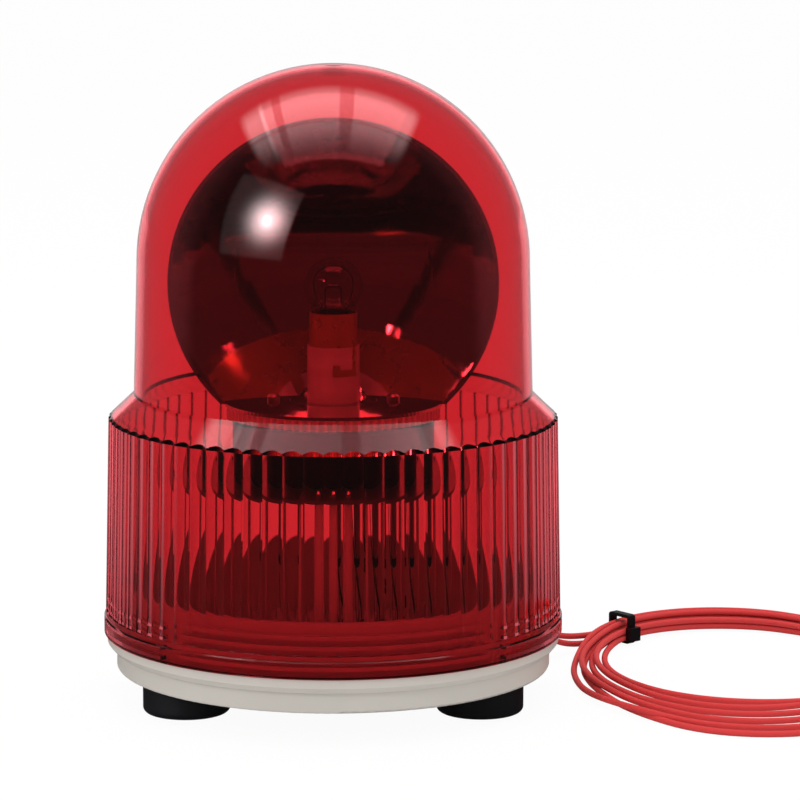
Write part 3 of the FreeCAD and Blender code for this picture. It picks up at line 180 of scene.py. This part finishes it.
def from_exit(points):
    """Points given as (out, left, up) from the beacon's axis along the leads' exit, as places."""
    out = Vector((math.cos(EXIT_ANGLE), math.sin(EXIT_ANGLE), 0))
    left = Vector((-out.y, out.x, 0))
    return [out * ahead + left * aside + Vector((0, 0, up)) for ahead, aside, up in points]


def make_lead(name, route, turns, leave, tail, node_names):
    """One flexible lead: a smooth line through the route and the coil, with a round section."""
    points = from_exit(route) + [Vector(point) for point in coil_points(turns, leave, tail)]
    curve = bpy.data.curves.new(name, "CURVE")
    curve.dimensions = "3D"
    spline = curve.splines.new("NURBS")
    spline.points.add(len(points) - 1)
    for control, point in zip(spline.points, points):
        control.co = (*(point * MM), 1)
        control.radius = LEAD_RADIUS
    spline.order_u = SPLINE_ORDER
    spline.use_endpoint_u = True
    spline.resolution_u = LENGTH_STEPS
    curve.bevel_depth = 1  # so that the control points' radius is the section's own
    curve.bevel_resolution = SECTION_STEPS
    lead = bpy.data.objects.new(name, curve)
    bpy.context.scene.collection.objects.link(lead)
    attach(lead, "base")
    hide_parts(*node_names)
    curve.materials.append(red_insulation())


# ---------------------------------------------------------------------------------------------
# Materials
# ---------------------------------------------------------------------------------------------
def material(name, color, roughness, **sockets):
    """A Principled material with its plain values on the shader's own sockets."""
    made = bpy.data.materials.new(name)
    made.use_nodes = True
    shader = made.node_tree.nodes["Principled BSDF"]
    shader.inputs["Base Color"].default_value = (*color, 1)
    shader.inputs["Roughness"].default_value = roughness
    for socket, amount in sockets.items():
        shader.inputs[socket.replace("_", " ")].default_value = amount
    return made


def link(made, node, output, target, socket):
    """Joins one node's output to another's socket, both by name."""
    made.node_tree.links.new(node.outputs[output], target.inputs[socket])


def noise(made, scale, detail=3.0, stretch=(1, 1, 1)):
    """Noise fixed to the object, at so many cells a metre."""
    tree = made.node_tree
    place = tree.nodes.new("ShaderNodeTexCoord")
    mapping = tree.nodes.new("ShaderNodeMapping")
    mapping.inputs["Scale"].default_value = stretch
    texture = tree.nodes.new("ShaderNodeTexNoise")
    texture.inputs["Scale"].default_value = scale
    texture.inputs["Detail"].default_value = detail
    link(made, place, "Object", mapping, "Vector")
    link(made, mapping, "Vector", texture, "Vector")
    return texture


# The texture's values where a colour's drift starts and ends.
DRIFT_START, DRIFT_END = 0.3, 0.7


def vary_color(made, texture, low, high):
    """The base colour drifts between two colours with a texture."""
    ramp = made.node_tree.nodes.new("ShaderNodeValToRGB")
    ramp.color_ramp.elements[0].color = (*low, 1)
    ramp.color_ramp.elements[0].position = DRIFT_START
    ramp.color_ramp.elements[1].color = (*high, 1)
    ramp.color_ramp.elements[1].position = DRIFT_END
    link(made, texture, "Fac", ramp, "Fac")
    link(made, ramp, "Color", made.node_tree.nodes["Principled BSDF"], "Base Color")


def vary_roughness(made, texture, low, high):
    """The roughness drifts between two values with a texture."""
    span = made.node_tree.nodes.new("ShaderNodeMapRange")
    span.inputs["To Min"].default_value = low
    span.inputs["To Max"].default_value = high
    link(made, texture, "Fac", span, "Value")
    link(made, span, "Result", made.node_tree.nodes["Principled BSDF"], "Roughness")


def add_bump(made, texture, height, strength=1.0):
    """Fine relief from a texture, with its height in metres."""
    bump = made.node_tree.nodes.new("ShaderNodeBump")
    bump.inputs["Distance"].default_value = height
    bump.inputs["Strength"].default_value = strength
    link(made, texture, "Fac", bump, "Height")
    link(made, bump, "Normal", made.node_tree.nodes["Principled BSDF"], "Normal")


def clear_red():
    """Tinted moulded plastic, almost polished, with the faint waviness of a moulding."""
    made = material("clear_red", (0.81, 0.13, 0.155), 0.03, Transmission_Weight=1.0, IOR=1.5)
    add_bump(made, noise(made, scale=55, detail=1.0), height=0.00004, strength=0.5)
    return made


def ivory():
    """Moulded plastic with a fine grain, a little uneven in colour and gloss."""
    made = material("ivory_plastic", (0.53, 0.5, 0.45), 0.38, IOR=1.5)
    vary_color(made, noise(made, scale=20, detail=4.0), (0.51, 0.48, 0.435), (0.55, 0.52, 0.47))
    vary_roughness(made, noise(made, scale=90, detail=4.0), 0.32, 0.45)
    add_bump(made, noise(made, scale=4500, detail=2.0), height=0.00002, strength=0.5)
    return made


def black_rubber():
    """Matt rubber with a fine grain."""
    made = material("black_rubber", (0.006, 0.006, 0.008), 0.6, Specular_IOR_Level=0.3)
    vary_roughness(made, noise(made, scale=70, detail=4.0), 0.5, 0.72)
    add_bump(made, noise(made, scale=3000, detail=3.0), height=0.00003, strength=0.6)
    return made


def black_plastic():
    """Satin moulded plastic."""
    made = material("black_plastic", (0.005, 0.004, 0.005), 0.42, Specular_IOR_Level=0.25)
    vary_roughness(made, noise(made, scale=60, detail=3.0), 0.36, 0.5)
    add_bump(made, noise(made, scale=3500, detail=2.0), height=0.00002, strength=0.5)
    return made


def mirror():
    """Bright plated reflector with a faint orange-peel ripple."""
    made = material("bright_reflector", (0.88, 0.88, 0.88), 0.04, Metallic=1.0)
    add_bump(made, noise(made, scale=45, detail=2.0), height=0.00008, strength=0.4)
    return made


def satin_nickel():
    """Satin plating, pale from every side, with the streaks of turning."""
    made = material("nickel_brass", (0.78, 0.76, 0.72), 0.42, Metallic=0.55)
    vary_roughness(made, noise(made, scale=150, stretch=(1, 1, 6)), 0.36, 0.5)
    vary_color(made, noise(made, scale=60, stretch=(1, 1, 5)), (0.72, 0.7, 0.66), (0.82, 0.8, 0.76))
    return made


def plated_steel():
    """Zinc-plated steel, cloudy in colour and gloss."""
    made = material("plated_steel", (0.55, 0.54, 0.5), 0.3, Metallic=1.0)
    vary_roughness(made, noise(made, scale=80, detail=4.0), 0.24, 0.42)
    vary_color(made, noise(made, scale=26), (0.5, 0.49, 0.46), (0.62, 0.6, 0.56))
    return made


def spring_steel():
    """Bright drawn metal, for the spring and for solder."""
    made = material("spring_steel", (0.5, 0.5, 0.5), 0.22, Metallic=1.0)
    vary_roughness(made, noise(made, scale=200), 0.18, 0.32)
    return made


def brass():
    """Turned brass, slightly tarnished."""
    made = material("brass", (0.62, 0.42, 0.16), 0.3, Metallic=0.75)
    vary_color(made, noise(made, scale=120, detail=4.0), (0.62, 0.42, 0.16), (0.7, 0.5, 0.22))
    vary_roughness(made, noise(made, scale=300), 0.2, 0.38)
    return made


def nylon():
    """Milky moulded nylon that lets a little light in."""
    made = material("white_nylon", (0.72, 0.71, 0.67), 0.42, Subsurface_Weight=0.2,
                    Subsurface_Scale=0.001)
    vary_color(made, noise(made, scale=60), (0.72, 0.71, 0.67), (0.78, 0.77, 0.73))
    add_bump(made, noise(made, scale=2500, detail=2.0), height=0.00001, strength=0.4)
    return made


def ferrite():
    """Dark sintered magnet."""
    made = material("magnet_ferrite", (0.05, 0.05, 0.055), 0.55)
    add_bump(made, noise(made, scale=2200, detail=4.0), height=0.00005, strength=0.7)
    vary_roughness(made, noise(made, scale=100), 0.45, 0.7)
    return made


def fibre():
    """Brown pressed fibre with a grain."""
    made = material("fibre", (0.2, 0.09, 0.04), 0.6)
    texture = noise(made, scale=900, detail=4.0, stretch=(1, 1, 6))
    vary_color(made, texture, (0.16, 0.07, 0.03), (0.26, 0.12, 0.055))
    return made


def lamp_glass():
    """Clear glass."""
    return material("lamp_glass", (0.97, 0.98, 0.97), 0.0, Transmission_Weight=1.0, IOR=1.48)


def tungsten():
    """Grey drawn wire."""
    made = material("tungsten", (0.3, 0.29, 0.28), 0.35, Metallic=1.0)
    vary_roughness(made, noise(made, scale=500, detail=2.0), 0.3, 0.45)
    return made


def red_insulation():
    """Glossy red vinyl, one material shared by the leads and their sleeves."""
    found = bpy.data.materials.get("red_insulation")
    if found:
        return found
    made = material("red_insulation", (0.9, 0.014, 0.008), 0.4, Specular_IOR_Level=0.12)
    vary_color(made, noise(made, scale=30), (0.86, 0.011, 0.006), (0.94, 0.017, 0.01))
    add_bump(made, noise(made, scale=900, detail=2.0), height=0.00002, strength=0.3)
    return made


def finish_nodes():
    """Each CAD node gets the material of its slot."""
    finishes = {
        "clear_red": clear_red(),
        "ivory_plastic": ivory(),
        "black_plastic": black_plastic(),
        "black_rubber": black_rubber(),
        "gasket_rubber": black_rubber(),
        "magnet_ferrite": ferrite(),
        "plated_steel": plated_steel(),
        "spring_steel": spring_steel(),
        "white_nylon": nylon(),
        "bright_reflector": mirror(),
        "brass": brass(),
        "nickel_brass": satin_nickel(),
        "lamp_glass": lamp_glass(),
        "tungsten": tungsten(),
        "solder": spring_steel(),
        "fibre": fibre(),
        "red_insulation": red_insulation(),
    }
    for part in frame["record"]["subparts"]:
        node = NODES[part["node"]]
        for slot in node.material_slots:
            slot.material = finishes[part["material_slot"]]


# ---------------------------------------------------------------------------------------------
# Studio: node arithmetic
# ---------------------------------------------------------------------------------------------
def put(tree, value, socket):
    """Sets a socket to a number, or joins it to another node's output."""
    if isinstance(value, (int, float)):
        socket.default_value = value
    else:
        tree.links.new(value, socket)


def calc(tree, operation, *values):
    """A math node on numbers or other nodes' outputs."""
    node = tree.nodes.new("ShaderNodeMath")
    node.operation = operation
    for socket, value in zip(node.inputs, values):
        put(tree, value, socket)
    return node.outputs[0]


def product(tree, *values):
    """All the values multiplied together."""
    result = values[0]
    for value in values[1:]:
        result = calc(tree, "MULTIPLY", result, value)
    return result


def blend(tree, mask, low, high):
    """From low to high as a mask goes from 0 to 1."""
    return calc(tree, "MULTIPLY_ADD", mask, high - low, low)


def rise(tree, value, start, end):
    """From 0 at the start to 1 at the end, smoothly."""
    node = tree.nodes.new("ShaderNodeMapRange")
    node.interpolation_type = "SMOOTHSTEP"
    node.inputs["From Min"].default_value = start
    node.inputs["From Max"].default_value = end
    tree.links.new(value, node.inputs["Value"])
    return node.outputs[0]


def between(tree, value, low, high, soft):
    """1 from low to high, fading to 0 over a soft edge on both sides."""
    return calc(tree, "MULTIPLY", rise(tree, value, low - soft, low),
                calc(tree, "SUBTRACT", 1, rise(tree, value, high, high + soft)))


def along(tree, direction, axis):
    """How far a direction goes along an axis."""
    node = tree.nodes.new("ShaderNodeVectorMath")
    node.operation = "DOT_PRODUCT"
    tree.links.new(direction, node.inputs[0])
    node.inputs[1].default_value = axis
    return node.outputs["Value"]


def unit(azimuth, height):
    """A direction by its angles: the azimuth from the front to the right, and up."""
    azimuth, height = math.radians(azimuth), math.radians(height)
    return Vector((math.sin(azimuth) * math.cos(height), -math.cos(azimuth) * math.cos(height),
                   math.sin(height)))


# A depth counts a ray's bounces, so a limit half way between two counts tells them apart.
NO_BOUNCE = 0.5
THROUGH_NEAR_WALL = 2.5


def ray_kinds(tree):
    """Masks for rays seen straight, turned by gloss off an outer face, off the near wall's inner
    face, and anywhere inside; and for the plain light that comes in through clear parts."""
    path = tree.nodes.new("ShaderNodeLightPath").outputs
    no_scatter = calc(tree, "LESS_THAN", path["Diffuse Depth"], NO_BOUNCE)
    straight = calc(tree, "MAXIMUM", path["Is Camera Ray"], path["Is Transmission Ray"])
    unturned = calc(tree, "LESS_THAN", path["Glossy Depth"], NO_BOUNCE)
    seen = product(tree, straight, unturned, no_scatter)
    any_kind = calc(tree, "MAXIMUM", path["Is Glossy Ray"], path["Is Transmission Ray"])
    turned = calc(tree, "MULTIPLY", calc(tree, "SUBTRACT", 1, unturned),
                  calc(tree, "MULTIPLY", no_scatter, any_kind))
    outside = calc(tree, "LESS_THAN", path["Transmission Depth"], NO_BOUNCE)
    near = calc(tree, "LESS_THAN", path["Transmission Depth"], THROUGH_NEAR_WALL)
    outer = calc(tree, "MULTIPLY", turned, outside)
    inner = calc(tree, "SUBTRACT", turned, outer)
    entered = calc(tree, "MULTIPLY", calc(tree, "SUBTRACT", 1, no_scatter),
                   calc(tree, "SUBTRACT", 1, outside))
    return {"seen": seen, "outer": outer, "skin": calc(tree, "MULTIPLY", inner, near),
            "inner": inner, "entered": entered}


# ---------------------------------------------------------------------------------------------
# Studio: levels, where 1 is white
# ---------------------------------------------------------------------------------------------
# The plain light all round, and the same where it comes in through clear parts.
PLAIN_LEVEL = 0.95
ENTERED_LEVEL = 1.2
# What gloss shows: the dim room, the pale backdrop, and the backdrop in the near wall's inner face.
ROOM_LEVEL = 0.05
BACKDROP_LEVEL = 0.5
SKIN_BACKDROP = 1.2
# What gloss shows inside the globe, to the front and to the back.
INNER_LEVEL = 0.08
INNER_BACK = 0.75


# ---------------------------------------------------------------------------------------------
# Studio: floor
# ---------------------------------------------------------------------------------------------
FLOOR_SIZE = 60
FLOOR_DROP = 0.0002
FLOOR_COLOR = (0.8, 0.8, 0.8)
FLOOR_ROUGHNESS = 0.9
# The share of the floor's own shading, and so of the beacon's shadow, in its white.
FLOOR_SHADOW = 0.05
# Where the floor turns to the backdrop's level: how nearly straight back, as a cosine.
FLOOR_PALE = (0.76, 1.0)
# Where it turns from the front's level to the back's in inner reflections: metres back.
INNER_FLOOR = (-0.1, 0.2)


def make_floor():
    """A pale floor, white to the camera and through the globe, with the beacon's soft shadow."""
    pale = material("pale_floor", FLOOR_COLOR, FLOOR_ROUGHNESS)
    tree = pale.node_tree
    rays = ray_kinds(tree)
    place = tree.nodes.new("ShaderNodeTexCoord").outputs["Object"]
    heading = tree.nodes.new("ShaderNodeVectorMath")
    heading.operation = "NORMALIZE"
    tree.links.new(place, heading.inputs[0])
    far = rise(tree, along(tree, heading.outputs["Vector"], (0, 1, 0)), *FLOOR_PALE)
    behind = rise(tree, along(tree, place, (0, 1, 0)), *INNER_FLOOR)
    within = blend(tree, behind, INNER_LEVEL, INNER_BACK)
    layers = [
        (calc(tree, "MULTIPLY", rays["seen"], 1 - FLOOR_SHADOW), 1),
        (rays["outer"], blend(tree, far, ROOM_LEVEL, BACKDROP_LEVEL)),
        (rays["inner"], calc(tree, "ADD", within, product(tree, rays["skin"], far, SKIN_BACKDROP))),
    ]
    below = tree.nodes["Principled BSDF"].outputs[0]
    for share, strength in layers:
        glow = tree.nodes.new("ShaderNodeEmission")
        put(tree, strength, glow.inputs["Strength"])
        mix = tree.nodes.new("ShaderNodeMixShader")
        tree.links.new(share, mix.inputs["Fac"])
        tree.links.new(below, mix.inputs[1])
        tree.links.new(glow.outputs[0], mix.inputs[2])
        below = mix.outputs[0]
    tree.links.new(below, tree.nodes["Material Output"].inputs["Surface"])
    bpy.ops.mesh.primitive_plane_add(size=FLOOR_SIZE, location=(0, 0, -FLOOR_DROP))
    floor = bpy.context.object
    floor.name = "floor"
    floor.data.materials.append(pale)


# ---------------------------------------------------------------------------------------------
# Studio: world. Directions are (azimuth, height) in degrees, as unit() takes them.
# ---------------------------------------------------------------------------------------------
# The key light's spot and its halo, whose width is in degrees, and the dim cloth round them, with
# its half sizes across and up as slopes from its middle.
KEY_AT = (-43, 27)
HALO_WIDTH = 9
HALO_LEVEL = 20
CLOTH_AT = (-50, 27)
CLOTH_HALF = (0.36, 0.36)
CLOTH_SOFT = 0.04
CLOTH_LEVEL = 0.25
# The overhead light. Its places are slopes from the globe's middle, across or back for each unit
# up: where it rises and fades going back, its two sides, the bars that run back and the seam that
# runs across. The light at a bar or the seam is multiplied by its third number.
OVERHEAD_LEVEL = 2.7
OVERHEAD_RISE = (-0.4, 0.3)
OVERHEAD_FADE = (0.4, 0.9)
OVERHEAD_SIDES = (-0.66, 0.58)
OVERHEAD_SOFT = 0.1
OVERHEAD_BARS = [(-0.42, -0.37, 0.4), (0.05, 0.13, 0.45), (-0.53, -0.51, 1.8)]
BAR_SOFT = 0.015
OVERHEAD_SEAM = (0.08, 0.12, 0.65)
SEAM_SOFT = 0.02
# The least that a slope divides by, so that it stays finite beside a light.
LEAST_AHEAD = 0.05
# The pale backdrop: its height, and its edge as the cosine of the angle from its middle.
BACKDROP_HEIGHT = -4
BACKDROP_EDGE = (0.912, 0.926)
# Where the front's level turns to the back's in inner reflections: how far back a ray points.
INNER_SIDE = (-0.1, 0.3)


def cloth_glow(tree, facing):
    """A dim lit cloth to the front left, with the key light's bright spot and halo."""
    middle = unit(*CLOTH_AT)
    side = Vector((0, 0, 1)).cross(middle).normalized()
    ahead = calc(tree, "MAXIMUM", along(tree, facing, middle), LEAST_AHEAD)
    across = calc(tree, "DIVIDE", along(tree, facing, side), ahead)
    upward = calc(tree, "DIVIDE", along(tree, facing, middle.cross(side)), ahead)
    off = calc(tree, "SUBTRACT", 1, along(tree, facing, unit(*KEY_AT)))
    halo = calc(tree, "EXPONENT", calc(tree, "MULTIPLY", off, -2 / math.radians(HALO_WIDTH) ** 2))
    return product(tree, between(tree, across, -CLOTH_HALF[0], CLOTH_HALF[0], CLOTH_SOFT),
                   between(tree, upward, -CLOTH_HALF[1], CLOTH_HALF[1], CLOTH_SOFT),
                   calc(tree, "MULTIPLY_ADD", halo, HALO_LEVEL, CLOTH_LEVEL))


def overhead_glow(tree, facing):
    """The overhead light: a wide panel that brightens to the back, with bars and a seam."""
    height = calc(tree, "MAXIMUM", along(tree, facing, (0, 0, 1)), LEAST_AHEAD)
    across = calc(tree, "DIVIDE", along(tree, facing, (1, 0, 0)), height)
    back = calc(tree, "DIVIDE", along(tree, facing, (0, 1, 0)), height)
    level = product(tree, rise(tree, back, *OVERHEAD_RISE), OVERHEAD_LEVEL,
                    calc(tree, "SUBTRACT", 1, rise(tree, back, *OVERHEAD_FADE)),
                    between(tree, across, *OVERHEAD_SIDES, OVERHEAD_SOFT))
    strips = [(across, bar, BAR_SOFT) for bar in OVERHEAD_BARS] + [(back, OVERHEAD_SEAM, SEAM_SOFT)]
    for slope, (start, end, share), soft in strips:
        strip = between(tree, slope, start, end, soft)
        level = calc(tree, "MULTIPLY", level, blend(tree, strip, 1, share))
    return level


def make_world():
    """Plain light all round. Gloss shows a dim room, a pale backdrop, a cloth and the lights."""
    world = bpy.data.worlds.new("room")
    bpy.context.scene.world = world
    world.use_nodes = True
    tree = world.node_tree
    rays = ray_kinds(tree)
    facing = tree.nodes.new("ShaderNodeTexCoord").outputs["Generated"]
    pale = rise(tree, along(tree, facing, unit(180, BACKDROP_HEIGHT)), *BACKDROP_EDGE)
    lights = calc(tree, "ADD", cloth_glow(tree, facing), overhead_glow(tree, facing))
    room = calc(tree, "ADD", lights, calc(tree, "MULTIPLY_ADD", pale, BACKDROP_LEVEL, ROOM_LEVEL))
    behind = rise(tree, along(tree, facing, (0, 1, 0)), *INNER_SIDE)
    within = blend(tree, behind, INNER_LEVEL, INNER_BACK)
    rest = calc(tree, "MULTIPLY_ADD", rays["entered"], ENTERED_LEVEL - PLAIN_LEVEL,
                blend(tree, rays["seen"], PLAIN_LEVEL, 1))
    edge = calc(tree, "MULTIPLY_ADD", pale, SKIN_BACKDROP, lights)
    strength = rest
    for mask, change in [(rays["outer"], calc(tree, "SUBTRACT", room, rest)),
                         (rays["inner"], calc(tree, "SUBTRACT", within, rest)),
                         (rays["skin"], edge)]:
        strength = calc(tree, "MULTIPLY_ADD", mask, change, strength)
    tree.links.new(strength, tree.nodes["Background"].inputs["Strength"])
    tree.nodes["Background"].inputs["Color"].default_value = (1, 1, 1, 1)


# ---------------------------------------------------------------------------------------------
# Studio: lamps, in metres from the globe's middle
# ---------------------------------------------------------------------------------------------
PANEL_BACK = 0.1
PANEL_HEIGHT = 1.2
PANEL_SIZE = 1.2
PANEL_LEVEL = 2.6
KEY_DISTANCE = 1.3
KEY_SIZE = 0.14
KEY_LEVEL = 36


def lamp(name, at, aim, size, level):
    """A square area lamp that glows at a level, where 1 is white."""
    light = bpy.data.lights.new(name, "AREA")
    light.shape = "SQUARE"
    light.size = size
    light.energy = level * math.pi * size * size
    made = bpy.data.objects.new(name, light)
    bpy.context.scene.collection.objects.link(made)
    made.location = at
    made.rotation_euler = (aim - at).to_track_quat("-Z", "Y").to_euler()
    made.visible_glossy = False


def make_lights():
    """The lamps' plain light and shadows. Their reflections are the world's."""
    middle = (GLOBE_LOW + GLOBE_HIGH) / 2
    overhead = middle + Vector((0, PANEL_BACK, PANEL_HEIGHT))
    lamp("overhead", overhead, middle, PANEL_SIZE, PANEL_LEVEL)
    lamp("key", middle + unit(*KEY_AT) * KEY_DISTANCE, middle, KEY_SIZE, KEY_LEVEL)


# ---------------------------------------------------------------------------------------------
# The scene
# ---------------------------------------------------------------------------------------------
make_camera()
finish_nodes()
make_lead("lead_a_cord", LEAD_A, TURNS_A, LEAVE_A, TAIL_A, ["lead_a", "lead_coil"])
make_lead("lead_b_cord", LEAD_B, TURNS_B, LEAVE_B, TAIL_B, ["lead_b", "lead_coil"])
make_floor()
make_world()
make_lights()

bpy.context.scene.view_settings.view_transform = "Standard"
